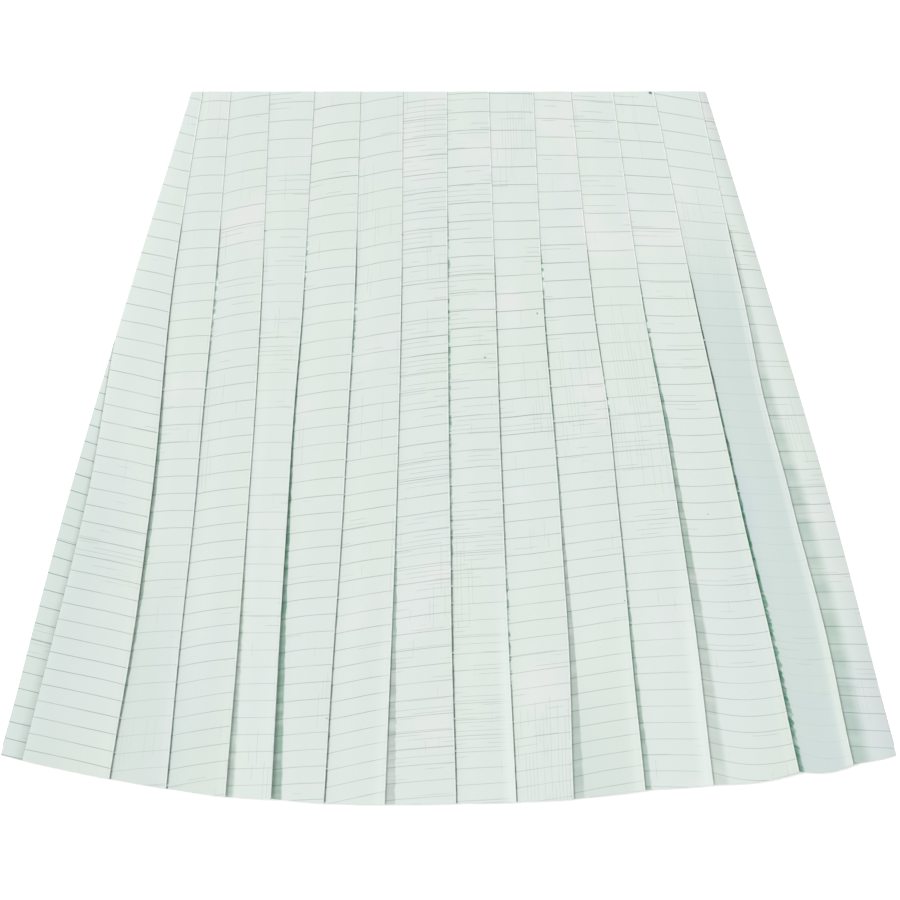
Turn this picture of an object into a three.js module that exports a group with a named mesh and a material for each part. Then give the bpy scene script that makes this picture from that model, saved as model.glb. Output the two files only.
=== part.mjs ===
// Pleated mini skirt, laid flat with its front up.
//
// Millimetres. X runs across the skirt, +Y points to the waist and +Z up from the surface it lies on.
// The front panel lies on the back panel, and both are knife-pleated walls of cloth: at each fold the
// cloth doubles back under itself for the pleat's depth, turns again and comes out as the next pleat.
// A closed zip lies inside one side seam. The origin is the middle of the underside.
import * as THREE from "three";

// ---------------------------------------------------------------- cloth
const CLOTH = 1.0;                 // thickness of the cloth wall
const GAP = 0.3;                   // clear space between two layers of cloth
const LAYER = CLOTH + GAP;         // from the middle of one layer to the middle of the next
const TURN = LAYER / 2;            // radius of a fold's turn, at the middle of the cloth
const STACK = CLOTH + 2 * LAYER;   // height of a pleat's three layers

// ---------------------------------------------------------------- outline
const LENGTH = 457;                // from the waist to the hem, at the centre
const SIDE_RISE = 35;              // how much shorter the skirt is along its side seams
const ROWS_FRONT = 10;             // rows of cloth from the waist to the hem
const ROWS_BACK = 6;

// Places down the skirt where the tables below give sizes, as shares of the length.
const STATIONS = [0, 0.3, 0.61, 1];

// Half the width of the skirt at each station: waist, hip, thigh, hem.
const HALF_WIDTH = [166.5, 207, 247.5, 286.5];

// ---------------------------------------------------------------- front pleats
// One row for each knife pleat of the front, from the left to the right. The fold of every pleat
// points right. waist, hip, thigh and hem are the fold's place across the skirt at the four
// stations, depthTop and depthHem how far it is tucked under, and lift how far it stands off at the hem.
const FRONT_PLEATS = [
  { waist: -157.5, hip: -177.6, thigh: -190.8, hem: -217.3, depthTop: 2.5, depthHem: 17, lift: 2.5 },
  { waist: -139.5, hip: -149.6, thigh: -162.9, hem: -182.4, depthTop: 11, depthHem: 17, lift: 1.5 },
  { waist: -114.6, hip: -119.8, thigh: -129.0, hem: -142.4, depthTop: 13, depthHem: 17, lift: 3.0 },
  { waist: -85.8, hip: -93.1, thigh: -103.6, hem: -113.6, depthTop: 13, depthHem: 17, lift: 4.0 },
  { waist: -56.3, hip: -60.3, thigh: -68.2, hem: -80.3, depthTop: 13, depthHem: 17, lift: 2.0 },
  { waist: -29.1, hip: -30.4, thigh: -33.6, hem: -41.3, depthTop: 13, depthHem: 17, lift: 3.0 },
  { waist: -1.0, hip: -0.3, thigh: 1.0, hem: 4.8, depthTop: 13, depthHem: 17, lift: 2.0 },
  { waist: 25.9, hip: 30.0, thigh: 35.3, hem: 43.8, depthTop: 13, depthHem: 17, lift: 2.0 },
  { waist: 54.4, hip: 60.5, thigh: 72.0, hem: 80.3, depthTop: 13, depthHem: 17, lift: 2.0 },
  { waist: 78.4, hip: 92.0, thigh: 109.8, hem: 127.0, depthTop: 12, depthHem: 17, lift: 3.0 },
  { waist: 105.3, hip: 123.8, thigh: 148.2, hem: 171.8, depthTop: 13, depthHem: 17, lift: 4.5 },
  { waist: 131.5, hip: 157.8, thigh: 188.9, hem: 225.0, depthTop: 13, depthHem: 17, lift: 6.0 },
  { waist: 160.0, hip: 189.8, thigh: 223.5, hem: 258.9, depthTop: 13, depthHem: 17, lift: 6.0 },
];

// The pleat at the left side, whose fold points left. strip is how far the cloth under it shows
// beyond the fold at each station; above the hip it is hidden.
const SIDE_PLEAT = { strip: [-1, -1, 10, 17], depthTop: 3, depthHem: 12, lift: 2.0 };

const RELEASE = 0.22;              // the pleats are sewn down from the waist to this share of the length
const LIFT_BEND = 1.3;             // above 1, a fold lifts off more and more quickly towards the hem
const LIFT_UNDER = 0.6;            // share of the lift that the cloth under the fold follows

// ---------------------------------------------------------------- back pleats
const BACK_PLEATS = 11;
const BACK_PITCH = [28, 34, 41, 47];   // from fold to fold, at the four stations
const BACK_DEPTH = [13, 17];           // tucked under at the waist and at the hem
const BACK_INSET = 1;                  // the back's side edges lie this far inside the front's

// ---------------------------------------------------------------- folds
const PAST_FOLD = 1.0;             // cloth lies flat this far past the fold that it comes out from
const CLEAR_TURN = 1.0;            // and is on top again this far before the next pleat's inner turn
const BACK_CLIMB = 8;              // the back's pleats reach the surface this far past a fold

// The front comes down to meet the back along the side seams, over this width at waist and hem.
const LEFT_SLOPE = [12, 26];
const RIGHT_SLOPE = [5, 26];
const SEAM_LEVEL = CLOTH * 1.5 + GAP;                 // middle of the front's cloth at the seam
const FRONT_LEVEL = STACK + GAP + CLOTH / 2;          // middle of its lowest layer elsewhere

// ---------------------------------------------------------------- zip
const ZIP_LENGTH = 175;
const ZIP_WIDTH = 8;
const ZIP_THICK = 0.8;
const ZIP_INSET = 8;               // from the side edge to the zip
const ZIP_TOP = 4;                 // from the waist edge to the top of the tape
const ZIP_STEPS = 4;
const SLIDER = { width: 4.5, length: 9, thick: 0.8, below: 5 };

// ---------------------------------------------------------------- colours
const CLOTH_COLOUR = 0xdfe8e4;
const TAPE_COLOUR = 0xd3ddd8;
const METAL_COLOUR = 0xb9bdbb;

const lerp = THREE.MathUtils.lerp;
const clamp01 = (value) => THREE.MathUtils.clamp(value, 0, 1);

// A smooth curve through the four values that a table gives at the stations.
function along(values, v) {
  let i = 0;
  while (i < STATIONS.length - 2 && v > STATIONS[i + 1]) i += 1;
  const span = STATIONS[i + 1] - STATIONS[i];
  const slope = (k) => {
    const before = Math.max(k - 1, 0);
    const after = Math.min(k + 1, values.length - 1);
    return (values[after] - values[before]) / (STATIONS[after] - STATIONS[before]);
  };
  const f = (v - STATIONS[i]) / span;
  const rise = values[i + 1] - values[i];
  const a = slope(i) * span - rise;
  const b = rise - slope(i + 1) * span;
  return values[i] + f * rise + f * (1 - f) * (a * (1 - f) + b * f);
}

const halfWidth = (v) => along(HALF_WIDTH, v);

// How far down the skirt a point lies: the rows bend up towards the sides as the hem does.
function placeY(x, v) {
  const share = x / halfWidth(v);
  return LENGTH / 2 - v * (LENGTH - SIDE_RISE * share * share);
}

// Height of the middle of the front's lowest layer, which slopes down to the seams.
function frontLevel(x, v) {
  const fromEdge = halfWidth(v) - Math.abs(x);
  const [atWaist, atHem] = x < 0 ? LEFT_SLOPE : RIGHT_SLOPE;
  return lerp(SEAM_LEVEL, FRONT_LEVEL, clamp01(fromEdge / lerp(atWaist, atHem, v)));
}

// Share of its full lift that a fold has at v.
const lifted = (v) => Math.pow(clamp01((v - RELEASE) / (1 - RELEASE)), LIFT_BEND);

// ---------------------------------------------------------------- sections
// A section is the middle of the cloth along one row, as points { x, layer, lift }.
// Layer 0 is the innermost of a pleat's three layers and layer 2 the outermost.

// The turn where the outer layer goes under: out to x on layer 2 and back on layer 1.
// side is 1 where the fold points right and -1 where it points left.
function foldTurn(x, lift, side) {
  return [
    { x: x - side * TURN, layer: 2, lift },
    { x, layer: 1.5, lift: (lift * (1 + LIFT_UNDER)) / 2 },
    { x: x - side * TURN, layer: 1, lift: lift * LIFT_UNDER },
  ];
}

// The hidden turn where the cloth comes forward again, from layer 1 to layer 0.
function innerTurn(x, side) {
  return [
    { x: x + side * TURN, layer: 1, lift: 0 },
    { x, layer: 0.5, lift: 0 },
    { x: x + side * TURN, layer: 0, lift: 0 },
  ];
}

// A run of knife pleats whose folds point right. climbEnd says where each pleat's face has
// come up to layer 2, given the fold it comes out from and its own.
function knifePleats(folds, climbEnd) {
  const points = [];
  folds.forEach((fold, k) => {
    if (k > 0) points.push({ x: folds[k - 1].x + PAST_FOLD, layer: 0, lift: 0 });
    points.push({ x: climbEnd(folds[k - 1], fold), layer: 2, lift: 0 });
    points.push(...foldTurn(fold.x, fold.lift, 1));
    points.push(...innerTurn(fold.x - fold.depth, 1));
  });
  points.push({ x: folds[folds.length - 1].x + PAST_FOLD, layer: 0, lift: 0 });
  return points;
}

function frontSection(v) {
  const edge = halfWidth(v);
  const strip = along(SIDE_PLEAT.strip, v);
  const sideFold = Math.max(strip, 0) - edge;
  const sideInner = sideFold + lerp(SIDE_PLEAT.depthTop, SIDE_PLEAT.depthHem, v);
  const seam = Math.max(-strip, 0) - edge;
  const folds = FRONT_PLEATS.map((pleat) => ({
    x: along([pleat.waist, pleat.hip, pleat.thigh, pleat.hem], v),
    depth: lerp(pleat.depthTop, pleat.depthHem, v),
    lift: pleat.lift * lifted(v),
  }));
  const climbEnd = (from, fold) => fold.x - fold.depth - CLEAR_TURN;
  const points = [
    { x: seam, layer: 0, lift: 0 },
    ...innerTurn(sideInner, -1).reverse(),
    ...foldTurn(sideFold, SIDE_PLEAT.lift * lifted(v), -1).reverse(),
    { x: sideInner + CLEAR_TURN, layer: 2, lift: 0 },
    ...knifePleats(folds, climbEnd),
    { x: edge, layer: 0, lift: 0 },
  ];
  return points.map(({ x, layer, lift }) => ({
    x,
    y: placeY(x, v),
    z: frontLevel(x, v) + layer * LAYER + lift,
  }));
}

// The back is made the same way, then turned over: its outer layer is the one on the surface.
function backSection(v) {
  const edge = halfWidth(v) - BACK_INSET;
  const depth = lerp(BACK_DEPTH[0], BACK_DEPTH[1], v);
  const pitch = along(BACK_PITCH, v);
  const folds = Array.from({ length: BACK_PLEATS }, (_, k) => ({
    x: (k - (BACK_PLEATS - 1) / 2) * pitch + depth / 2,
    depth,
    lift: 0,
  }));
  const climbEnd = (from) => (from ? from.x : -edge) + BACK_CLIMB;
  const points = [
    { x: -edge, layer: 2 },
    ...knifePleats(folds, climbEnd),
    { x: folds[BACK_PLEATS - 1].x + BACK_CLIMB, layer: 2 },
    { x: edge, layer: 2 },
  ];
  const turned = points.map(({ x, layer }) => ({
    x: -x,
    y: placeY(x, v),
    z: CLOTH / 2 + (2 - layer) * LAYER,
  }));
  return turned.reverse();
}

// ---------------------------------------------------------------- walls
// Moves a section's points half the wall's thickness to one side, with mitred corners.
function offsetSection(section, distance) {
  const direction = (a, b) => new THREE.Vector2(b.x - a.x, b.z - a.z).normalize();
  return section.map((point, j) => {
    const before = direction(section[Math.max(j - 1, 0)], section[Math.max(j, 1)]);
    const last = section.length - 1;
    const after = direction(section[Math.min(j, last - 1)], section[Math.min(j + 1, last)]);
    const normal = new THREE.Vector2(-before.y - after.y, before.x + after.x).normalize();
    const reach = distance / (normal.y * before.x - normal.x * before.y);
    return [point.x + normal.x * reach, point.y, point.z + normal.y * reach];
  });
}

// A closed wall of cloth through the sections, which all have the same number of points.
function clothWall(sections) {
  const rings = sections.map((section) => [
    ...offsetSection(section, CLOTH / 2),
    ...offsetSection(section, -CLOTH / 2).reverse(),
  ]);
  const size = rings[0].length;
  const half = size / 2;
  const index = [];
  const quad = (a, b, c, d) => index.push(a, b, c, a, c, d);
  for (let row = 0; row + 1 < rings.length; row += 1) {
    for (let j = 0; j < size; j += 1) {
      const next = (j + 1) % size;
      const here = row * size;
      quad(here + j, here + size + j, here + size + next, here + next);
    }
  }
  const end = (rings.length - 1) * size;
  for (let j = 0; j + 1 < half; j += 1) {
    const other = size - 1 - j;
    quad(j, j + 1, other - 1, other);
    quad(end + j, end + other, end + other - 1, end + j + 1);
  }
  const geometry = new THREE.BufferGeometry();
  geometry.setAttribute("position", new THREE.Float32BufferAttribute(rings.flat(2), 3));
  geometry.setIndex(index);
  geometry.computeVertexNormals();
  return geometry;
}

const rowsOf = (count, section) => Array.from({ length: count + 1 }, (_, row) => section(row / count));

// ---------------------------------------------------------------- zip
// The zip's place: inside the right seam, resting on the back and following the side edge.
const zipLine = (down) => halfWidth(down / LENGTH) - ZIP_INSET - ZIP_WIDTH / 2;

function zipTape() {
  const outline = new THREE.Shape();
  const downs = Array.from({ length: ZIP_STEPS + 1 }, (_, k) => ZIP_TOP + (ZIP_LENGTH * k) / ZIP_STEPS);
  const left = downs.map((down) => [zipLine(down) - ZIP_WIDTH / 2, LENGTH / 2 - down]);
  const right = downs.map((down) => [zipLine(down) + ZIP_WIDTH / 2, LENGTH / 2 - down]).reverse();
  outline.setFromPoints([...left, ...right].map(([x, y]) => new THREE.Vector2(x, y)));
  return new THREE.ExtrudeGeometry(outline, { depth: ZIP_THICK, bevelEnabled: false });
}

// ---------------------------------------------------------------- parts
const cloth = (name) =>
  new THREE.MeshStandardMaterial({ name, color: CLOTH_COLOUR, roughness: 0.85, metalness: 0 });

function named(name, geometry, material) {
  const mesh = new THREE.Mesh(geometry, material);
  mesh.name = name;
  return mesh;
}

const skirt = new THREE.Group();

skirt.add(named("front_panel", clothWall(rowsOf(ROWS_FRONT, frontSection)), cloth("front cloth")));
skirt.add(named("back_panel", clothWall(rowsOf(ROWS_BACK, backSection)), cloth("back cloth")));

const tapeMaterial = new THREE.MeshStandardMaterial({ color: TAPE_COLOUR, roughness: 0.8, metalness: 0 });
const tape = named("side_zip", zipTape(), tapeMaterial);
tape.position.z = CLOTH + GAP;
skirt.add(tape);

const metal = new THREE.MeshStandardMaterial({ color: METAL_COLOUR, roughness: 0.35, metalness: 1 });
const slider = named("zip_slider", new THREE.BoxGeometry(SLIDER.width, SLIDER.length, SLIDER.thick), metal);
const sliderDown = ZIP_TOP + SLIDER.below + SLIDER.length / 2;
const sliderLevel = CLOTH + GAP + ZIP_THICK + GAP + SLIDER.thick / 2;
slider.position.set(zipLine(sliderDown), LENGTH / 2 - sliderDown, sliderLevel);
skirt.add(slider);

export default skirt;
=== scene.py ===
# %% [markdown]
# # A knife-pleated mini skirt, laid flat
#
# A knife pleat is a fold in which the cloth doubles back under itself and comes out again, so three
# layers lie on each other at the fold and one layer lies between two folds. This skirt has thirteen of
# them across the front, all pointing the same way. They are sewn down from the waist to the hip and
# hang free below. The lesson folds a flat sheet of cloth into that shape, as a maker would do with an iron.
#
# The fixed frame of the skirt is loaded first. Sizes below are in millimetres, as on a pattern, unless a
# comment says metres. Places are counted from the middle of the skirt, and down from its waist.

# %% Load the frame
import math
from collections import namedtuple
from functools import partial

import bmesh
import bpy
from mathutils import Matrix, Vector, noise


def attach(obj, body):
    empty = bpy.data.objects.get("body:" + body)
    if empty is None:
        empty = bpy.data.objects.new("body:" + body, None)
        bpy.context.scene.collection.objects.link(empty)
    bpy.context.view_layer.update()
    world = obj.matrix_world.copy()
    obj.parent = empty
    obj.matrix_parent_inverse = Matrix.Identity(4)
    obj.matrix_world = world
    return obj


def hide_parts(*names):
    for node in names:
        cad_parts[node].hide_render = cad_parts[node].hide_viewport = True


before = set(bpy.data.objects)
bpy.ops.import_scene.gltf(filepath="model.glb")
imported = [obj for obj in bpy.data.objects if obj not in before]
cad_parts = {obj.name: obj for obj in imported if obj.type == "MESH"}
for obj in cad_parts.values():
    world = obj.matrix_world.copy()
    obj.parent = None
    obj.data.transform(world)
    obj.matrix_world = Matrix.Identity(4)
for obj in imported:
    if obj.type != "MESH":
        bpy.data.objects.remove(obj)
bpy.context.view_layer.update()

# %% [markdown]
# ## Small helpers
#
# Lengths on a garment are read in millimetres, and Blender works in metres, so one constant turns one
# into the other. A smooth curve through four values says how a size changes from the waist to the hem:
# a Blender curve object could do that too, but a few lines of arithmetic are easier to read and reuse.

# %% Lengths and curves
MM = 0.001
STATIONS = (0.0, 0.3, 0.61, 1.0)   # waist, hip, thigh and hem, as shares of the length


def lerp(a, b, t):
    return a + (b - a) * t


def clamp(value, low=0.0, high=1.0):
    return min(max(value, low), high)


def smooth(t):
    t = clamp(t)
    return t * t * (3 - 2 * t)


def along(values, v):
    """A smooth curve through the four values that belong to the stations, read at v."""
    i = 0
    while i < len(STATIONS) - 2 and v > STATIONS[i + 1]:
        i += 1

    def slope(k):
        before = max(k - 1, 0)
        after = min(k + 1, len(values) - 1)
        return (values[after] - values[before]) / (STATIONS[after] - STATIONS[before])

    span = STATIONS[i + 1] - STATIONS[i]
    f = (v - STATIONS[i]) / span
    rise = values[i + 1] - values[i]
    a = slope(i) * span - rise
    b = rise - slope(i + 1) * span
    return values[i] + f * rise + f * (1 - f) * (a * (1 - f) + b * f)


print("half way down a size that goes 10, 20, 30, 40:", round(along((10, 20, 30, 40), 0.5), 1))

# %% [markdown]
# ## Camera
#
# The skirt lies on a table and is looked at from straight above. A long lens keeps its sides from
# spreading, much as an orthographic camera would, but a real lens is what the other views need too.
# The distance follows from the lens and from how much of the table the picture takes in.

# %% Camera
VIEW_WIDTH_MM = 576.0
VIEW_CENTRE_MM = (1.0, -1.3)
LENS_MM = 120.0
SENSOR_MM = 36.0
CLOTH_TOP_MM = 5.0     # the distance is measured from about here

scene = bpy.context.scene


def add_object(name, data):
    """A new object in the scene, at the origin."""
    made = bpy.data.objects.new(name, data)
    scene.collection.objects.link(made)
    return made


camera_data = bpy.data.cameras.new("camera")
camera_data.lens = LENS_MM
camera_data.sensor_width = SENSOR_MM
camera = add_object("camera", camera_data)
distance_mm = VIEW_WIDTH_MM * LENS_MM / SENSOR_MM
camera.location = (VIEW_CENTRE_MM[0] * MM, VIEW_CENTRE_MM[1] * MM, (distance_mm + CLOTH_TOP_MM) * MM)
scene.camera = camera
print(f"camera {distance_mm:.0f} mm above the cloth")

# %% [markdown]
# ## Floor and light
#
# The table is a pale sheet of paper. The light is one large soft lamp to the left, high enough to reach
# the whole skirt and low enough to draw each fold's edge, over an even white surround that keeps the
# shadows open. A sun lamp with a wide angle is as soft as a big lamp box and as bright on every side.


# %% Colours, nodes and meshes
def linear(colour):
    """An sRGB colour written as #rrggbb, as the linear red, green, blue and alpha that Blender uses."""
    channels = [int(colour[i : i + 2], 16) / 255 for i in (1, 3, 5)]
    return [c / 12.92 if c <= 0.04045 else ((c + 0.055) / 1.055) ** 2.4 for c in channels] + [1.0]


def node(tree, kind, inputs=(), output=0, **settings):
    """Adds a node with its settings and links, and returns one of its outputs. The inputs are a list in
    the node's own order or a dictionary: numbers, colours as #rrggbb, or outputs of other nodes."""
    made = tree.nodes.new("ShaderNode" + kind)
    for name, value in settings.items():
        setattr(made, name, value)
    for socket, value in inputs.items() if isinstance(inputs, dict) else enumerate(inputs):
        if isinstance(value, bpy.types.NodeSocket):
            tree.links.new(value, made.inputs[socket])
        else:
            made.inputs[socket].default_value = linear(value) if isinstance(value, str) else value
    return made.outputs[output] if made.outputs else None


def new_material(name):
    """An empty material, and the function that adds a node to it."""
    material = bpy.data.materials.new(name)
    material.use_nodes = True
    material.node_tree.nodes.clear()
    return material, partial(node, material.node_tree)


def from_bmesh(name, bm):
    """Turns a bmesh into an object in the scene."""
    mesh = bpy.data.meshes.new(name)
    bm.to_mesh(mesh)
    bm.free()
    return add_object(name, mesh)


print("middle grey in linear light:", round(linear("#808080")[0], 3))

# %% Floor, lamp and surround
FLOOR_SIZE = 6.0
PAPER = "#FAFAFA"
PAPER_GRAIN = 900.0    # grains to a metre
LAMP_STRENGTH = 1.5
LAMP_ANGLE = 26
LAMP_HEIGHT = 48       # degrees above the table
LAMP_SIDE = 165        # degrees round from +X, so it stands to the left and a little towards the waist
SURROUND = 1.01

bm = bmesh.new()
bmesh.ops.create_grid(bm, x_segments=1, y_segments=1, size=FLOOR_SIZE / 2)
floor = from_bmesh("floor", bm)

paper, add = new_material("matt white paper")
grain = add("TexNoise", {"Scale": PAPER_GRAIN, "Detail": 2.0})
bump = add("Bump", {"Height": grain, "Strength": 0.05, "Distance": 0.0001})
shader = add("BsdfPrincipled", {"Base Color": PAPER, "Roughness": 0.9, "Normal": bump})
add("OutputMaterial", {"Surface": shader})
floor.data.materials.append(paper)

lamp_data = bpy.data.lights.new("soft lamp", "SUN")
lamp_data.energy = LAMP_STRENGTH
lamp_data.angle = math.radians(LAMP_ANGLE)
lamp = add_object("soft lamp", lamp_data)
lamp.rotation_euler = (0, math.radians(90 - LAMP_HEIGHT), math.radians(LAMP_SIDE))

world = bpy.data.worlds.new("white surround")
world.use_nodes = True
background = world.node_tree.nodes["Background"]
background.inputs["Color"].default_value = linear("#FFFFFF")
background.inputs["Strength"].default_value = SURROUND
scene.world = world
scene.view_settings.view_transform = "Standard"
print("table, lamp and surround are set")

# %% [markdown]
# ## Where the folds run
#
# A maker marks each fold on the flat cloth before pressing it. The table below does the same: a row for
# each knife pleat from left to right. `waist`, `hip`, `thigh` and `hem` are the fold's place across the
# skirt, `sway` how far it strays from an even curve between hip and thigh and between thigh and hem,
# `tuck` how deep the pleat is at waist and hem, `lift` how far its fold stands off the cloth under it at
# hip, thigh and hem, and `drop` how much lower its hem hangs than an even curve would. The sewing that
# holds the pleat shut ends at `free`, measured down from the waist.

# %% Fold table, in millimetres
FOLD_COLUMNS = ("waist", "hip", "thigh", "hem", "sway", "tuck", "lift", "drop", "free")
FOLD_ROWS = (
    (-157.5, -177.3, -190.9, -217.2, (0.0, 1.0), (2.5, 17), (0.4, 1.2, 0.8), 3.0, 85),
    (-139.5, -150.2, -163.0, -180.9, (-0.5, -0.6), (11, 17), (0.5, 0.4, 0.6), 3.2, 85),
    (-114.6, -120.1, -129.0, -142.9, (0.2, 0.3), (13, 17), (0.1, 0.3, 1.4), 3.4, 104),
    (-85.8, -93.3, -103.5, -113.6, (-0.6, -0.2), (13, 17), (0.1, 1.2, 2.4), 1.5, 100),
    (-56.3, -60.4, -68.2, -79.9, (-0.4, -0.3), (13, 17), (0.4, 0.3, 0.5), 1.8, 95),
    (-29.1, -30.3, -33.8, -40.8, (0.0, 0.0), (13, 17), (0.1, 0.2, 0.6), 0.6, 106),
    (-1.0, -0.4, 1.1, 4.9, (-0.1, -0.5), (13, 17), (0.2, 0.5, 0.4), -0.8, 70),
    (25.9, 30.2, 35.3, 43.5, (-0.1, -0.2), (13, 17), (0.1, 0.2, 0.4), -1.0, 100),
    (54.4, 60.8, 71.9, 80.3, (0.2, 1.1), (13, 17), (0.1, 0.2, 0.6), -1.1, 99),
    (78.4, 92.4, 109.4, 126.1, (1.3, -0.6), (12, 17), (0.1, 0.3, 0.8), -2.9, 95),
    (105.3, 124.0, 147.5, 169.8, (0.8, 0.7), (13, 17), (0.1, 0.5, 0.7), -0.9, 118),
    (131.5, 157.2, 186.9, 224.6, (0.2, 0.9), (13, 17), (0.3, 0.6, 1.4), -0.4, 118),
    (160.0, 188.1, 219.5, 259.4, (-1.8, 1.9), (13, 17), (0.2, 0.5, 0.8), 1.8, 86),
)
FOLDS = [dict(zip(FOLD_COLUMNS, row)) for row in FOLD_ROWS]

HALF_WIDTH = (164.7, 204.1, 243.3, 287.1)   # of the skirt laid flat, at the four stations
LENGTH = 457.0
print(len(FOLDS), "knife pleats on a skirt", 2 * HALF_WIDTH[0], "mm wide at the waist")

# %% [markdown]
# ## One row of folded cloth
#
# Cut across, the skirt is a long zigzag: along the top of a pleat, round its fold, back under, round
# again and out as the next pleat. Drawing that as a curve and extruding it would give straight folds
# only, so the cloth is a grid instead, and each row of the grid has a zigzag of its own. A row lists where
# every column of the grid lies, with what the pattern needs: which pleat it is on, and how far across.

# %% Layers and levels
LAYER = (0.24, 0.42)       # from one layer's middle to the next, where sewn down and where free
FREE_FROM = (0.13, 0.32)   # the layers part between these shares of the length
SEAM_LEVEL = 0.60          # middle of the front's cloth where it meets the back at the seams
FRONT_LEVEL = (1.6, 2.0, 2.5, 2.9)   # middle of its lowest layer elsewhere
ZIP_RIDGE = (0.9, 0.5, 0.0, 0.0)     # how much higher it lies over the zip, inside the right seam
RIDGE_REACH = (18, 60)               # the ridge is full this near the seam, and gone this far from it
LEFT_SLOPE = (12, 26)      # how far from the left seam the front is down at the back, at waist and hem
RIGHT_SLOPE = (7, 11)


def half_width(v):
    return along(HALF_WIDTH, v)


def layer(v):
    near, far = FREE_FROM
    return lerp(*LAYER, smooth((v - near) / (far - near)))


def level(x, v):
    """Height of the front's lowest layer: it rolls down to the back along both side seams."""
    from_edge = max(half_width(v) - abs(x), 0.0)
    slopes = LEFT_SLOPE if x < 0 else RIGHT_SLOPE
    short = 1 - clamp(from_edge / lerp(*slopes, v))
    height = along(FRONT_LEVEL, v)
    if x > 0:
        near, far = RIDGE_REACH
        height += max(along(ZIP_RIDGE, v), 0.0) * smooth((far - from_edge) / (far - near))
    return lerp(height, SEAM_LEVEL, short * short)


print(f"the front lies {level(0, 0.5):.1f} mm above the table")

# %% [markdown]
# Pressed cloth still keeps the marks of being worn and handled. The two tables place those creases one by
# one, because noise alone makes cloth look like water. A row gives the crease's middle, across the skirt
# and down from the waist, its length, the turn of its run from level, its half width and its height.
# Troughs have a minus height. Below the sewing most of them run down the pleats, as hanging cloth's do.

# %% Crease tables, in millimetres and degrees
FRONT_CREASES = (
    (-235.0, 300.0, 150.0, 107.0, 7.0, 0.30),
    (-258.0, 352.0, 70.0, 100.0, 3.0, -0.25),
    (-205.0, 205.0, 120.0, 100.0, 9.0, -0.35),
    (-168.0, 118.0, 60.0, 24.0, 6.0, 0.25),
    (-150.0, 330.0, 130.0, 97.0, 8.0, 0.35),
    (-118.0, 392.0, 90.0, 93.0, 7.0, -0.30),
    (-74.0, 128.0, 50.0, 12.0, 6.0, -0.25),
    (-58.0, 360.0, 150.0, 94.0, 9.0, 0.35),
    (-18.0, 250.0, 110.0, 88.0, 8.0, -0.25),
    (20.0, 402.0, 80.0, 86.0, 7.0, 0.30),
    (66.0, 420.0, 60.0, 84.0, 5.0, -0.40),
    (92.0, 235.0, 120.0, 83.0, 8.0, 0.25),
    (138.0, 128.0, 56.0, 168.0, 7.0, 0.30),
    (150.0, 330.0, 140.0, 76.0, 10.0, -0.40),
    (205.0, 262.0, 150.0, 72.0, 10.0, 0.40),
    (235.0, 392.0, 80.0, 70.0, 8.0, -0.45),
    (243.0, 300.0, 120.0, 70.0, 6.0, 0.30),
)
BACK_CREASES = (
    (-205.0, 250.0, 140.0, 104.0, 9.0, -0.12),
    (-150.0, 120.0, 60.0, 18.0, 7.0, 0.12),
    (-96.0, 340.0, 150.0, 96.0, 10.0, 0.15),
    (-30.0, 200.0, 110.0, 92.0, 8.0, -0.12),
    (28.0, 385.0, 100.0, 86.0, 9.0, 0.14),
    (84.0, 130.0, 56.0, 166.0, 7.0, -0.12),
    (132.0, 300.0, 150.0, 78.0, 10.0, 0.15),
    (214.0, 330.0, 130.0, 73.0, 9.0, -0.12),
)

# %% Waves and creases
WAVE = 0.5            # height of the soft waves in the cloth, in millimetres
WAVE_SIZE = (60, 130)
NOISE_LEVEL = 0.5     # where in its third direction a noise is read
NOISE_APART = 7.3     # neighbours that lie so far apart in a noise look unlike each other


def wave(x, v):
    """Soft waves, the same in every layer so that none cuts through another."""
    from_edge = clamp((half_width(v) - abs(x)) / WAVE_SIZE[0])
    spot = Vector((x / WAVE_SIZE[0], v * LENGTH / WAVE_SIZE[1], NOISE_LEVEL))
    return WAVE * v * from_edge * noise.noise(spot)


def creases(x, down, table):
    """Height of a table's creases at a point: each is a soft ridge, or a trough if its height is minus."""
    total = 0.0
    for at_x, at_down, length, turn, width, height in table:
        angle = math.radians(turn)
        along_it = (x - at_x) * math.cos(angle) + (down - at_down) * math.sin(angle)
        beside_it = (down - at_down) * math.cos(angle) - (x - at_x) * math.sin(angle)
        ends = 1 - smooth(abs(along_it) / (length / 2))
        total += height * ends * math.exp(-((beside_it / width) ** 2))
    return total


print(len(FRONT_CREASES), "creases in the front and", len(BACK_CREASES), "in the back")

# %% [markdown]
# A pleat is walked place by place: along its face, round its fold, back inside the pleat, round again and
# out under the fold. A place says where the cloth lies across the skirt and how high, which pleat it is
# on, its share of the way across the face, and how far along the hidden cloth it is.

# %% A knife pleat
Place = namedtuple("Place", "x z pleat share hidden")


def shares(count):
    """Even steps from 0 up to, but not including, 1."""
    return [i / count for i in range(count)]


TURN = (0.25, 0.5)    # how far round a fold reaches, at waist and hem
UNDER_LIFT = 0.6      # share of a fold's lift that the cloth under it follows
FACE_BEND = 1.8       # a face bends up towards its lifted fold with this power of the way across it
START_BEND = 3        # down from a lifted start with this one
UNDER_BEND = 1.5      # and the cloth under the fold settles with this one
HIDDEN_INSIDE = (0.1, 0.4)   # how far along the hidden cloth a place lies inside the pleat,
HIDDEN_TURN = 0.5            # at its inner turn
HIDDEN_UNDER = (0.6, 1.0)    # and under the fold


def turn_over(x, top, bottom, reach, steps):
    """Points round a fold at x, from the upper layer to the lower one. Its reach is minus to turn left."""
    points = []
    for t in shares(steps):
        angle = math.pi * (0.5 - t)
        points.append((x - reach * (1 - math.cos(angle)), lerp(bottom, top, (1 + math.sin(angle)) / 2)))
    return points


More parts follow.
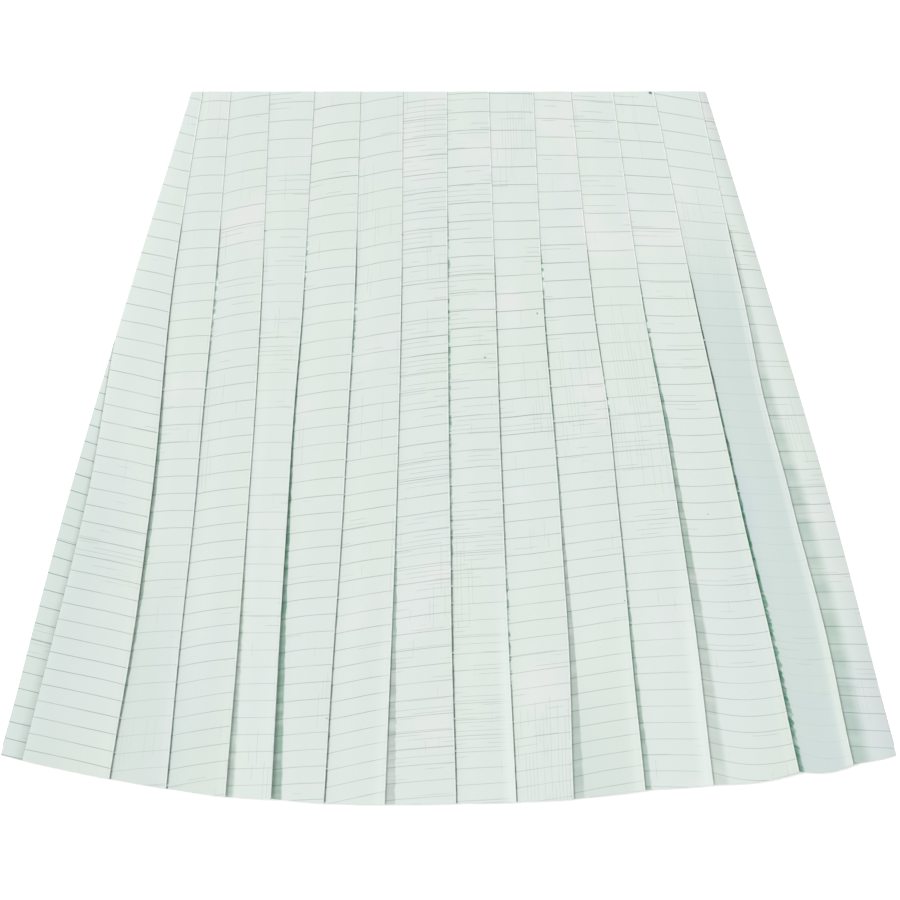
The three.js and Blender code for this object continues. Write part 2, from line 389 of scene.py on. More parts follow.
def knife_pleat(start, fold, v, pleat, steps, from_under=True, start_lift=0.0):
    """Places from where a pleat comes out to where its cloth passes under its own fold. The steps say
    how many lie on its face, round a fold, inside the pleat and under the fold."""
    face, turns, inner, under = steps
    x, lift, thick, turn = fold["x"], fold["lift"], layer(v), lerp(*TURN, v)
    inside = x - fold["tuck"]
    places = []
    for f in shares(face):
        at = lerp(start, x - turn, f)
        climb = smooth((at - start - turn) / (inside - 3 * turn - start)) if from_under else 1.0
        raised = lift * f**FACE_BEND + start_lift * (1 - f) ** START_BEND
        places.append(Place(at, 2 * thick * climb + raised, pleat, f, 0.0))
    for at, height in turn_over(x, 2 * thick + lift, thick + lift * UNDER_LIFT, turn, turns):
        places.append(Place(at, height, pleat, 1.0, 0.0))
    for f in shares(inner):
        raised = lift * UNDER_LIFT * (1 - f) ** UNDER_BEND
        at, hidden = lerp(x - turn, inside + turn, f), lerp(*HIDDEN_INSIDE, f)
        places.append(Place(at, thick + raised, pleat, 1.0, hidden))
    for at, height in turn_over(inside, thick, 0.0, -turn, turns):
        places.append(Place(at, height, pleat, 1.0, HIDDEN_TURN))
    for f in shares(under):
        places.append(Place(lerp(inside + turn, x, f), 0.0, pleat, 1.0, lerp(*HIDDEN_UNDER, f)))
    return places


sample = knife_pleat(0.0, {"x": 30.0, "tuck": 12.0, "lift": 0.5}, 1.0, 1, (3, 2, 2, 1))
print("a small pleat goes through", [round(place.x, 1) for place in sample])

# %% [markdown]
# The front starts at the left seam with a narrow strip, which goes under the side pleat. That pleat
# points the other way, so its zigzag is walked backwards. Thirteen knife pleats follow, and the last
# one lies over a strip that runs to the right seam.

# %% Folds of the front
OPENING = 12.0   # a fold is fully open this far below the end of its sewing


def opened_at(k, v):
    """0 where fold k is sewn down and 1 where it hangs free."""
    return smooth((v * LENGTH - FOLDS[k]["free"]) / OPENING)


def sway_at(sway, v):
    """How far a fold strays at v: a smooth swing between the hip and the thigh, and one below it."""
    for swing, top, end in zip(sway, STATIONS[1:], STATIONS[2:]):
        if top <= v <= end:
            return swing * math.sin(math.pi * (v - top) / (end - top)) ** 2
    return 0.0


def front_folds(v):
    folds = []
    for k, fold in enumerate(FOLDS):
        places = [fold[name] for name in ("waist", "hip", "thigh", "hem")]
        x = along(places, v) + sway_at(fold["sway"], v)
        lift = along((0.0,) + fold["lift"], v) * opened_at(k, v)
        folds.append({"x": x, "tuck": lerp(*fold["tuck"], v), "lift": max(lift, 0.0)})
    return folds


print("the fourth fold lies at", round(front_folds(1.0)[3]["x"], 1), "mm at the hem")

# %% A row of the front
TURN_STEPS = 6
INNER_STEPS = 4
STRIP_STEPS = 8
FRONT_STEPS = (13, TURN_STEPS, INNER_STEPS, 3)
# The pleat at the left side points left: how far the cloth under it shows, and its depth and lift.
STRIP = (-1.0, -2.5, 12.0, 14.2)
SIDE_TUCK = (3.0, 12.0)
SIDE_LIFT = (0.0, 0.1, 0.3, 0.6)
HIDDEN_SIDE_TURN = 0.2        # how far along its hidden cloth a place in the side pleat lies
HIDDEN_SIDE = (0.3, 0.8)


def front_row(v):
    edge, thick, turn = half_width(v), layer(v), lerp(*TURN, v)
    strip = along(STRIP, v)
    side_x = max(strip, 0.0) - edge
    seam_x = max(-strip, 0.0) - edge
    side_inside = side_x + lerp(*SIDE_TUCK, v)
    side_lift = along(SIDE_LIFT, v)
    row = [Place(lerp(seam_x, side_inside - turn, f), 0.0, 0, f, 0.0) for f in shares(STRIP_STEPS)]
    inner = turn_over(side_inside, thick, 0.0, turn, INNER_STEPS)
    row += [Place(x, thick - z, 0, 1.0, HIDDEN_SIDE_TURN) for x, z in inner]
    for f in shares(INNER_STEPS):
        raised = side_lift * UNDER_LIFT * f
        at = lerp(side_inside - turn, side_x + turn, f)
        row.append(Place(at, thick + raised, 0, 1.0, lerp(*HIDDEN_SIDE, f)))
    low = thick + side_lift * UNDER_LIFT
    high = 2 * thick + side_lift
    row += [Place(x, low + high - z, 1, 0.0, 0.0) for x, z in turn_over(side_x, high, low, -turn, TURN_STEPS)]
    folds = front_folds(v)
    row += knife_pleat(side_x + turn, folds[0], v, 1, FRONT_STEPS, False, side_lift)
    for k in range(1, len(folds)):
        row += knife_pleat(folds[k - 1]["x"], folds[k], v, k + 1, FRONT_STEPS)
    last = len(folds) + 1
    row += [Place(lerp(folds[-1]["x"], edge, f), 0.0, last, f, 0.0) for f in shares(STRIP_STEPS)]
    row.append(Place(edge, 0.0, last, 1.0, 0.0))
    return row


print("a row of the front has", len(front_row(0.5)), "columns")

# %% [markdown]
# ## The woven lines
#
# The cloth has a thin darker line across it about every 11 mm. Each pleat was pressed at a slightly
# different angle, so the lines step and tilt from pleat to pleat. An image texture could hold that, but
# a map of where each point lies on the flat cloth does it with real sizes: across the cloth in one
# direction, and along it, counted in repeats of the line, in the other.

# %% Line table
# For each pleat from the left seam strip to the right one: the tilt of its lines in degrees at waist, hip,
# thigh and hem, their pitch in millimetres, where the first one starts, how dark they are at the same four
# places, how far their middle bows up at waist and hem, and how much of a finer stripe shows.
LINE_COLUMNS = ("tilt", "pitch", "start", "ink", "bow", "fine")
LINE_ROWS = (
    ((-18, -18, -16, -11), 11.4, 0.52, (0.6, 0.9, 1.0, 0.9), (0.0, 0.0), 0.4),
    ((-12, -12, -12, -12), 11.56, 0.52, (0.5, 0.6, 0.7, 0.7), (0.0, 0.3), 0.2),
    ((2, 5, 3, 5), 11.83, 0.45, (0.5, 0.5, 0.5, 0.25), (0.6, 0.4), 0.1),
    ((11, 10, 8, 10), 11.83, 0.84, (0.5, 0.5, 0.6, 0.5), (0.7, 0.5), 0.2),
    ((3, 1, 0, -2), 11.90, 0.46, (0.5, 0.35, 0.35, 0.4), (0.5, 0.0), 0.5),
    ((9, 8, 7, 5), 11.83, 0.40, (0.7, 0.5, 0.6, 0.5), (0.9, 0.5), 0.1),
    ((10, 10, 9, 11), 11.83, 0.75, (0.5, 0.5, 0.6, 0.6), (0.5, 0.2), 0.1),
    ((5, 7, 8, 3), 11.90, 0.60, (0.5, 0.7, 0.6, 0.5), (0.4, 0.2), 0.8),
    ((2, 4, 4, 3), 11.76, 0.92, (0.6, 0.7, 0.5, 0.4), (0.3, 0.2), 0.8),
    ((-1, 4, 7, 9), 11.70, 0.87, (0.6, 0.7, 0.6, 0.4), (0.0, 0.4), 0.4),
    ((-2, 3, 7, 9), 11.63, 0.47, (0.5, 0.7, 0.6, 0.5), (0.0, 0.3), 0.3),
    ((-3, 2, 5, 1), 12.05, 0.44, (0.6, 0.5, 0.5, 0.4), (0.0, 0.3), 0.3),
    ((-5, 0, 2, -1), 11.36, 0.13, (0.7, 0.6, 0.6, 0.5), (0.0, -2.4), 0.4),
    ((-11, -3, -1, -2), 11.30, 0.38, (0.6, 0.3, 0.15, 0.15), (0.0, -1.4), 0.0),
    ((-11, -3, 2, -1), 12.12, 0.37, (0.7, 0.55, 0.6, 0.6), (0.0, 0.0), 0.5),
)
LINES = [dict(zip(LINE_COLUMNS, row)) for row in LINE_ROWS]
REPEAT = 11.0            # one repeat of the pattern on the map, in millimetres
PITCH_CHANGE = 1.2e-5    # the repeats come a little closer together towards the hem
print("the lines' pitches, in millimetres:", [line["pitch"] for line in LINES])


def repeats_down(down, x, v, pleat, fold_x, share):
    """How many repeats of the lines lie above a point, on the given pleat."""
    line = LINES[pleat]
    tilted = down + math.tan(math.radians(along(line["tilt"], v))) * (x - fold_x)
    tilted += 4 * share * (1 - share) * lerp(*line["bow"], v * v)
    return tilted / line["pitch"] + PITCH_CHANGE * tilted * tilted + line["start"]


# %% [markdown]
# ## From the flat grid to the folded front
#
# `bmesh.ops.create_grid` gives the flat cloth, and every vertex of it moves to the place that its row
# and column have in the zigzag. Modelling the finished pleats directly would need hundreds of separate
# faces to be joined. Moving a grid keeps the cloth in one piece, as the real panel is.
#
# Each vertex also carries a few numbers for the material: how far it is from the folds beside it, and how
# wide, soft and dark the painted shade in the hollow beside the fold is. Distances stay exact between
# vertices, so a painted shade that is narrower than the grid's squares still comes out sharp.


# %% Folding a grid
NOTES = "from_fold to_fold gap fade dark tone rough line rim rubbed ink fine cool".split()
Notes = namedtuple("Notes", NOTES, defaults=[0.0] * len(NOTES))
SIDE_RISE = 34.0     # the side seams are this much shorter than the middle


def down_at(x, v):
    """Distance from the waist to a point of row v: the rows bend up towards the sides."""
    share = x / half_width(v)
    return v * (LENGTH - SIDE_RISE * share * share)


def thicken(piece, thickness):
    """Gives a sheet its thickness in millimetres, half of it to each side."""
    shell = piece.modifiers.new("thickness", "SOLIDIFY")
    shell.thickness = thickness * MM
    shell.offset = 0.0


def across_cloth(row):
    """Distance across the flat cloth to each place of a row, measured along the zigzag."""
    across = [0.0]
    for before, after in zip(row, row[1:]):
        across.append(across[-1] + math.hypot(after.x - before.x, after.z - before.z))
    return across


def fold_grid(name, rows, place_of, thickness):
    """Makes a grid with a row for each of rows, and moves each vertex to what place_of gives."""
    columns = len(rows[0])
    bm = bmesh.new()
    bmesh.ops.create_grid(bm, x_segments=columns - 1, y_segments=len(rows) - 1, size=0.5)
    cloth_map = bm.loops.layers.uv.new("cloth")
    note_layers = [bm.verts.layers.float.new(note) for note in NOTES]
    mapped = {}
    for vertex in bm.verts:
        column = round((vertex.co.x + 0.5) * (columns - 1))
        row = round((0.5 - vertex.co.y) * (len(rows) - 1))
        vertex.co, mapped[vertex], notes = place_of(row, column)
        for note_layer, value in zip(note_layers, notes):
            vertex[note_layer] = value
    for edge in bm.edges:
        edge.smooth = not edge.is_boundary
    for face in bm.faces:
        face.smooth = True
        for corner in face.loops:
            corner[cloth_map].uv = mapped[corner.vert]
    area = sum(face.calc_area() for face in bm.faces)
    piece = from_bmesh(name, bm)
    thicken(piece, thickness)
    return piece, area


print("each vertex carries", len(NOTES), "notes")

# %% [markdown]
# Cloth inside a pleat looks darker and greener than open cloth, because light reaches it only after it
# has bounced between layers of green cloth. That shade is painted into the cloth's colour. The table below
# gives the painted shade beside each fold at hip, thigh and hem: how wide it is, how softly it ends, how
# dark it is from 0 to 1, and its tone, from 0 for grey to 1 for green. `rough` says where the shade's edge
# is torn into teal dashes and missing dashes of painted shade, and `line` where a crisp dark line of
# painted shade runs along the fold: from, to and how much.

# %% Painted shade in the hollows beside the folds, in millimetres
HOLLOW_COLUMNS = ("gap", "fade", "dark", "tone", "rough", "line")
HOLLOW_ROWS = (
    ((0.45, 2.3, 0.7), (0.3, 0.4, 0.4), (0.42, 0.5, 0.55), (0.0, 0.8, 0.1), (290, 380, 0.3), (84, 350, 0.5)),
    ((0.9, 0.5, 1.0), (0.3, 0.3, 0.3), (0.5, 0.52, 0.68), (1.2, 0.2, 0.5), (114, 174, 0.8), (0, 0, 0.0)),
    ((0.55, 0.65, 3.2), (0.3, 0.3, 3.0), (0.55, 0.5, 0.36), (0.2, 0.4, 0.5), (350, 430, 0.3), (0, 0, 0.0)),
    ((0.8, 1.8, 5.6), (0.3, 0.5, 1.6), (0.62, 0.75, 0.5), (0.6, 1.0, 1.3), (88, 130, 0.6), (150, 350, 0.5)),
    ((1.0, 0.75, 1.1), (0.3, 0.3, 0.3), (0.5, 0.55, 0.7), (0.8, 0.3, 0.5), (128, 178, 0.8), (84, 130, 0.5)),
    ((0.5, 0.9, 6.2), (0.3, 0.3, 0.8), (0.52, 0.55, 0.3), (0.1, 0.8, 0.2), (375, 455, 0.5), (350, 420, 0.6)),
    ((0.85, 1.2, 0.85), (0.4, 0.4, 0.3), (0.58, 0.65, 0.65), (1.1, 0.7, 0.4), (92, 300, 0.5), (300, 440, 0.4)),
    ((0.7, 0.9, 0.8), (0.3, 0.3, 0.3), (0.55, 0.6, 0.62), (0.1, 0.3, 0.3), (300, 390, 0.5), (0, 0, 0.0)),
    ((0.85, 1.6, 6.2), (0.3, 0.4, 1.6), (0.65, 0.52, 0.26), (0.8, 0.4, 0.4), (100, 135, 0.7), (135, 200, 0.6)),
    ((0.7, 0.8, 3.1), (0.3, 0.3, 2.0), (0.55, 0.58, 0.52), (0.3, 0.6, 0.9), (180, 215, 0.7), (350, 400, 0.4)),
    ((0.8, 3.6, 7.0), (0.3, 0.8, 5.0), (0.65, 0.5, 0.16), (0.9, 0.6, 0.35), (143, 172, 0.8), (172, 260, 0.4)),
    ((0.8, 1.5, 2.4), (0.3, 0.9, 1.6), (0.82, 0.9, 0.78), (0.0, 0.8, 1.0), (330, 452, 1.0), (112, 230, 0.6)),
    ((1.5, 5.0, 5.5), (3.0, 7.0, 9.0), (0.22, 0.32, 0.3), (0.5, 1.0, 0.8), (0, 0, 0.0), (84, 140, 0.85)),
)
HOLLOWS = [dict(zip(HOLLOW_COLUMNS, row)) for row in HOLLOW_ROWS]
SEWN_GAP = 0.15        # width, softness and darkness of the painted shade line beside a fold that is sewn down
SEWN_FADE = 0.3
SEWN_DARK = 0.2
SEWN_CHANGE = 17.0     # such a line shows and hides again over about this length
SEWN_VARIES = 2.2      # and this strongly
WAIST_EDGE = (4.5, 3.5)   # no painted shade shows beside a fold down to here, and all of it does after so much more
# how strongly the painted shade beside each sewn fold shows: some at the right were pressed quite flat
SEWN_SHOWS = (0.1, 0.3, 0.8, 1.0, 0.7, 0.7, 0.1, 0.0, 0.2, 0.2, 0.0, 0.0, 0.2)
EDGE_HIGHLIGHT = (0.2, 0.55)   # strength of the painted highlight on the pressed edge, sewn down and free
FLAT_EDGE_HIGHLIGHT = 0.55     # and where the fold was pressed so flat that it hardly shows: there the painted highlight also lightens the fold's cast shadow
print("hollows beside", len(HOLLOWS), "folds")

# %% Painted shade on turned faces, painted highlight on rims
# Pleats whose face is turned from the lamp get a painted cooler, darker shade: how much at their left and
# right side, and from which share of the length.
COOL = {
    0: (0.6, 0.9, 0.35),
    1: (0.5, 0.1, 0.45),
    2: (0.6, 0.3, 0.6),
    3: (0.5, 0.2, 0.7),
    10: (0.7, 0.3, 0.75),
    12: (0.0, 0.3, 0.4),
    13: (1.0, 1.0, 0.12),
    14: (0.5, 0.4, 0.7),
}
COOL_RISE = 0.25
RIM = (0.84, 0.12)     # the last share of a pleat, at its fold, rolls back to the light: from and reach
PALE_RIM = {6: 0.5, 8: 0.9, 10: 0.4, 11: 0.9, 13: 0.3}   # pleats with a painted highlight on their rim, and how much
PALE_RIM_REACH = (0.80, 0.10, 0.60, 0.25)                # from and reach across, then down the skirt


def cool_at(pleat, share, v):
    left, right, top = COOL.get(pleat, (0.0, 0.0, 0.0))
    rim = smooth((share - RIM[0]) / RIM[1]) if 0 < pleat <= len(FOLDS) else 0.0
    return lerp(left, right, share) * smooth((v - top) / COOL_RISE) * (1 - rim)


def rim_at(pleat, share, v):
    from_share, reach, from_v, reach_v = PALE_RIM_REACH
    strength = PALE_RIM.get(pleat, 0.0)
    return strength * smooth((share - from_share) / reach) * smooth((v - from_v) / reach_v)


print(len(COOL), "pleats look cooler, and", len(PALE_RIM), "have a paler rim")

# %% Reading the hollow table
STRETCH_ENDS = 12.0      # a rough or crisp stretch comes and goes over this length


def hollow_beside(k, v):
    """Gap, fade and darkness of the painted shade beside fold k at v, narrow and light where the fold is sewn
    down.
    """
    hollow = HOLLOWS[k]
    opened = opened_at(k, v)
    gap = lerp(SEWN_GAP, max(along((SEWN_GAP,) + hollow["gap"], v), SEWN_GAP), opened)
    fade = lerp(SEWN_FADE, max(along((SEWN_FADE,) + hollow["fade"], v), SEWN_FADE), opened)
    spot = Vector((k * NOISE_APART, v * LENGTH / SEWN_CHANGE, NOISE_LEVEL))
    shows = clamp(1 + SEWN_VARIES * noise.noise(spot), 0.0, 2.0)
    below_edge = smooth((v * LENGTH - WAIST_EDGE[0]) / WAIST_EDGE[1])
    sewn = SEWN_DARK * SEWN_SHOWS[k] * shows * below_edge
    dark = lerp(sewn, clamp(along((SEWN_DARK,) + hollow["dark"], v)), opened)
    return gap, fade, clamp(dark)


def edge_highlight_at(k, v):
    """How strong the painted highlight on the pressed edge of fold k is at v."""
    return lerp(lerp(FLAT_EDGE_HIGHLIGHT, EDGE_HIGHLIGHT[0], SEWN_SHOWS[k]), EDGE_HIGHLIGHT[1], opened_at(k, v))


def stretch_at(stretch, v):
    """How strongly something shows at v that runs from one place down the skirt to another."""
    start, end, strength = stretch
    down = v * LENGTH
    return strength * smooth((down - start) / STRETCH_ENDS) * smooth((end - down) / STRETCH_ENDS)


print("widest hollow at the hem:", max(hollow["gap"][-1] for hollow in HOLLOWS), "mm")

# %% The hem of the front
SEAM_DROPS = (2.6, 2.9)      # drop of the hem at the left and right seams
BELLY = {12: 2.2, 13: 2.8}   # extra length in the middle of these two pleats, whose hem billows


def drop_of(pleat, share):
    """How much lower than the even curve the hem hangs at a place on a pleat."""
    drops = [SEAM_DROPS[0], SEAM_DROPS[0]] + [fold["drop"] for fold in FOLDS] + [SEAM_DROPS[1]]
    belly = BELLY.get(pleat, 0.0) * math.sin(math.pi * share)
    return lerp(drops[pleat], drops[pleat + 1], share) + belly


def right_fold(pleat, folds, v):
    """Where the fold, or seam, at the right of a pleat runs at v."""
    if pleat == 0:
        return max(along(STRIP, v), 0.0) - half_width(v)
    return folds[pleat - 1]["x"] if pleat <= len(folds) else half_width(v)


print(f"the first pleat's hem drops by {drop_of(1, 0.5):.1f} mm")

# %% The front
FRONT_ROWS = 96
CLOTH = 0.22             # thickness of the cloth
HEM_FLOW = 5             # how quickly the drop of the hem fades out up the skirt
HIDDEN_SHORT = 1.2       # hidden layers end this far above the hem
NO_FOLD = 1000.0         # stands for a fold that is far away
# gap, fade and darkness of the painted shade beside the side pleat, on the strip at the left, at the four
# stations
SIDE_HOLLOW = ((0.25, 0.25, 0.4, 1.2), (0.3, 0.4, 3.0, 7.0), (0.2, 0.42, 0.18, 0.12))

front_rows = []
for i in range(FRONT_ROWS + 1):
    v = i / FRONT_ROWS
    front_rows.append((v, front_row(v), front_folds(v)))

across = across_cloth(front_row(STATIONS[2]))


def place_front(row, column):
    v, places, folds = front_rows[row]
    place = places[column]
    pleat, x = place.pleat, place.x
    down = down_at(x, v)
    edge = right_fold(pleat, folds, v)
    repeats = repeats_down(down, x, v, pleat, edge, place.share)
    if place.hidden > 0:
        following = min(pleat + 1, len(LINES) - 1)
        next_repeats = repeats_down(down, x, v, following, right_fold(following, folds, v), 0.0)
        repeats = lerp(repeats, next_repeats, place.hidden)
    hem = v**HEM_FLOW
    lower = hem * drop_of(pleat, place.share) - (hem * HIDDEN_SHORT if place.hidden > 0 else 0.0)
    z = level(x, v) + place.z + wave(x, v) + creases(x, down, FRONT_CREASES)
    from_fold, fold_left = NO_FOLD, 0
    # cloth hidden inside a pleat gets the full painted shade of the hollow
    if place.hidden > 0:
        from_fold, fold_left = 0.0, min(max(pleat - 1, 0), len(folds) - 1)
    elif pleat >= 2:
        from_fold, fold_left = x - folds[pleat - 2]["x"], pleat - 2
    gap, fade, dark = hollow_beside(fold_left, v)
    if pleat == 0 and place.hidden == 0:
        from_fold = edge - x
        gap, fade, dark = (along(values, v) for values in SIDE_HOLLOW)
    line = LINES[pleat]
    fold_right = min(max(pleat - 1, 0), len(folds) - 1)
    notes = Notes(
        from_fold=from_fold * MM,
        to_fold=(edge - x) * MM,
        gap=gap * MM,
        fade=fade * MM,
        dark=dark,
        tone=along((0.0,) + HOLLOWS[fold_left]["tone"], v) if pleat > 0 else 0.0,
        rough=stretch_at(HOLLOWS[fold_left]["rough"], v) if pleat > 0 else 0.0,
        line=stretch_at(HOLLOWS[fold_left]["line"], v) if pleat > 0 else 0.0,
        # painted highlight on pale rims
        rim=rim_at(pleat, place.share, v),
        # painted highlight on the fold edge at the pleat's right
        rubbed=edge_highlight_at(fold_right, v) if 0 < pleat <= len(folds) else 0.0,
        ink=clamp(along(line["ink"], v)),
        fine=line["fine"],
        # painted shade on faces turned from the lamp
        cool=cool_at(pleat, place.share, v),
    )
    point = Vector((x, LENGTH / 2 - down - lower, z)) * MM
    return point, (across[column] * MM, repeats * REPEAT * MM), notes


skirt_front, front_area = fold_grid("skirt_front", [r[1] for r in front_rows], place_front, CLOTH)
print(f"front: {len(skirt_front.data.polygons)} faces, {front_area:.3f} square metres of cloth")

# %% [markdown]
# ## The back
#
# The back lies under the front, with its outer side down on the table. It is folded by the same
# function and turned over: its folds are evenly spaced, because nothing pulls them about.

# %% A row of the back, in millimetres
BACK_PLEATS = 11
BACK_PITCH = (28, 34, 41, 47)
BACK_TUCK = (13, 17)
BACK_INSET = 1.0         # its sides lie this far inside the front's
BACK_STEPS = (9, 4, 3, 2)
BACK_CLIMB = 8.0         # the strip at its last side climbs on to the pleat over this width


def back_row(v):
    edge = half_width(v) - BACK_INSET
    tuck = lerp(*BACK_TUCK, v)
    pitch = along(BACK_PITCH, v)
    middle = (BACK_PLEATS - 1) / 2
    folds = [{"x": (k - middle) * pitch + tuck / 2, "tuck": tuck, "lift": 0.0} for k in range(BACK_PLEATS)]
    row = knife_pleat(-edge, folds[0], v, 0, BACK_STEPS, False)
    for k in range(1, BACK_PLEATS):
        row += knife_pleat(folds[k - 1]["x"], folds[k], v, k, BACK_STEPS)
    start = folds[-1]["x"]
    for f in shares(STRIP_STEPS) + [1.0]:
        x = lerp(start, edge, f)
        row.append(Place(x, 2 * layer(v) * smooth((x - start) / BACK_CLIMB), BACK_PLEATS, f, 0.0))
    return row, [fold["x"] for fold in folds]


print("a row of the back has", len(back_row(0.5)[0]), "columns")

# %% The back
BACK_ROWS = 48
BACK_LEVEL = 0.16        # middle of its lowest layer above the table
BACK_SHORT = 4.0         # its hem lies this much above the front's even curve, so it never shows below it
BACK_RISE = 0.15         # room for its creases, so that none dips into the table
BACK_FREE = 98.0         # where the sewing of the back's pleats ends
BACK_HOLLOW = (0.8, 0.6, 0.5)   # gap, fade and darkness of the painted shade beside its free folds
BACK_TONE = 0.4
BACK_INK = 0.6
BACK_FINE = 0.2

back_rows = [(i / BACK_ROWS, *back_row(i / BACK_ROWS)) for i in range(BACK_ROWS + 1)]
back_across = across_cloth(back_rows[BACK_ROWS // 2][1])


def place_back(row, column):
    v, places, fold_xs = back_rows[row]
    column = len(places) - 1 - column
    place = places[column]
    down = down_at(place.x, v)
    short = (BACK_SHORT + (HIDDEN_SHORT if place.hidden > 0 else 0.0)) * v**HEM_FLOW
    z = BACK_LEVEL + 2 * layer(v) - place.z + BACK_RISE + creases(-place.x, down, BACK_CREASES)
    point = Vector((-place.x, LENGTH / 2 - down + short, z)) * MM
    repeats = down / REPEAT + PITCH_CHANGE * down * down
    from_fold = place.x - fold_xs[place.pleat - 1] if place.pleat > 0 else NO_FOLD
    to_fold = fold_xs[place.pleat] - place.x if place.pleat < BACK_PLEATS else NO_FOLD
    opened = smooth((down - BACK_FREE) / OPENING)
    gap, fade, dark = [lerp(a, b, opened) for a, b in zip((SEWN_GAP, SEWN_FADE, SEWN_DARK), BACK_HOLLOW)]
    # hidden cloth gets the full painted shade
    if place.hidden > 0:
        from_fold = 0.0
    notes = Notes(
        from_fold=from_fold * MM,
        to_fold=to_fold * MM,
        gap=gap * MM,
        fade=fade * MM,
        dark=dark,
        tone=BACK_TONE,
        # painted highlight on the back's fold edges
        rubbed=lerp(*EDGE_HIGHLIGHT, opened),
        ink=BACK_INK,
        fine=BACK_FINE,
    )
    return point, (back_across[column] * MM, repeats * REPEAT * MM), notes


skirt_back, back_area = fold_grid("skirt_back", [r[1] for r in back_rows], place_back, CLOTH)
print(f"back: {len(skirt_back.data.polygons)} faces, {back_area:.3f} square metres of cloth")

# %% [markdown]
# ## Cloth
#
# The cloth is a pale mint wool-and-polyester twill, woven and then pressed. Close by it is matt with a
# soft bloom where light grazes the fibre ends, which is what sheen gives. Its lines are woven in with a
# darker weft, so they are part of the colour and stand up very little. Each pattern is a mask on the map
# of the flat cloth, and in the end the masks lay their colours over the plain one: the lines and slubs as
# dye would, and painted shade and painted highlights along the folds and on faces turned from the lamp.

# %% Masks for its patterns
SOFT = {"interpolation_type": "SMOOTHSTEP"}
# Patches of noise: how many there are to a metre, how they are squeezed across and along the cloth,
# between which values of the noise they fade, and what they fade from and to.
PATCHES = {
    "ink": (30.0, (1.0, 1.0), (0.3, 0.6), (0.6, 1.0)),
    "fine": (26.0, (0.3, 1.0), (0.42, 0.75), (0.0, 1.0)),
    "warp": (15.0, (1.0, 0.5), (0.54, 0.7), (0.68, 0.44)),
    "green": (14.0, (1.3, 0.7), (0.42, 0.62), (0.0, 1.0)),
    "blue": (9.0, (1.0, 1.0), (0.45, 0.6), (0.0, 1.0)),
    # the next five vary painted light: the edge highlight, the teal shade dashes, the gaps in the shade, the
    # shade's darkness and the glints
    "rubbed": (120.0, (0.2, 1.0), (0.35, 0.6), (0.3, 1.0)),
    "teal": (95.0, (0.1, 1.0), (0.36, 0.46), (0.0, 1.0)),
    "missing": (230.0, (0.06, 1.0), (0.42, 0.56), (1.0, 0.0)),
    "dark": (110.0, (0.1, 1.0), (0.35, 0.6), (0.75, 1.1)),
    "glint": (60.0, (1.0, 1.0), (0.5, 0.6), (0.0, 0.6)),
}
# Soft steps in a vertex's notes: which note, from and to, in metres if it is a length, and what they
# fade from and to.
STEPS = {
    # all of these place painted light: the edge highlight, the crisp shade line along the fold, the painted
    # shade's width and the glints
    "rubbed": ("to_fold", 0.0004, 0.0011, 1.0, 0.0),
    "crisp": ("from_fold", 0.00035, 0.0008, 1.0, 0.0),
    "wide": ("gap", 0.0, 0.002, 0.2, 1.0),
    "narrow": ("gap", 0.0008, 0.0014, 1.0, 0.15),
    "crossed": ("gap", 0.001, 0.004, 0.7, 0.35),
    "glint": ("gap", 0.001, 0.002, 1.0, 0.0),
    "glint dark": ("dark", 0.35, 0.5, 0.0, 1.0),
}
twill, weave = new_material("pressed mint twill with woven lines")
cloth_map = weave("UVMap", uv_map="cloth")
notes = {which: weave("Attribute", output="Fac", attribute_name=which) for which in NOTES}
step = {name: weave("MapRange", [notes[which], *ends], **SOFT) for name, (which, *ends) in STEPS.items()}


def product(*masks):
    total = masks[0]
    for mask in masks[1:]:
        total = weave("Math", [total, mask], operation="MULTIPLY")
    return total


def laid_over(colour, *layers):
    """Lays colours over a first one, each as strongly as its own mask says."""
    for mask, above in layers:
        colour = weave("Mix", {0: mask, 6: colour, 7: above}, 2, data_type="RGBA")
    return colour


def spots(count, squeeze=(1.0, 1.0), detail=2.0, output="Fac"):
    """Noise on the cloth, with count spots to a metre."""
    scaled = weave("VectorMath", [cloth_map, (*squeeze, 1.0)], operation="MULTIPLY")
    return weave("TexNoise", {"Vector": scaled, "Scale": count, "Detail": detail}, output)


def patches(which):
    count, squeeze, fades, ends = PATCHES[which]
    return weave("MapRange", [spots(count, squeeze), *fades, *ends], **SOFT)


def swing(height, *spot_sizes):
    """Noise that goes up and down by half of height."""
    return weave("Math", [spots(*spot_sizes), height, -height / 2], operation="MULTIPLY_ADD")


print(len(notes), "notes to read,", len(PATCHES), "kinds of patches")

# %% [markdown]
# A line's mask comes from the distance to the nearest line, which is what ping-pong gives. The thinnest
# lines show for a few centimetres and stop, as yarn that comes up in a weave does: each one reads a noise
# of its own along its length. All of them waver by a fraction of a millimetre.

# %% Woven lines, in millimetres
WAVER = (0.0010, 0.0016, 0.0)   # how far the lines waver, in metres
WAVER_SPOTS = 24.0
NOISE_MIDDLE = (0.5, 0.5, 0.5)
LINE_EDGE = (0.10, 0.28)        # half the width of a line, and how softly it ends beside it
THIN_EDGE = (0.06, 0.24)
FINE_PITCH = 2.9
FINE_BREAKS = 27.0              # how often the thin lines start and end, to a metre
FINE_STEP = (0.3, 1.4, 0.70, 0.44)
FINE_STRENGTH = 0.55
WARP_PITCH = 2.3
WARP_BREAKS = 26.0
WARP_STRENGTH = (-0.4, 0.5)     # how much of the warp lines shows: its change with coolness, and where warm
BREAK_SOFT = 0.05


def stripe(coordinate, pitch, half, soft):
    """1 on lines that lie a pitch apart, fading to 0 beside them."""
    away = weave("Math", [coordinate, pitch * MM / 2], operation="PINGPONG")
    return weave("MapRange", [away, half * MM, (half + soft) * MM, 1.0, 0.0], **SOFT)


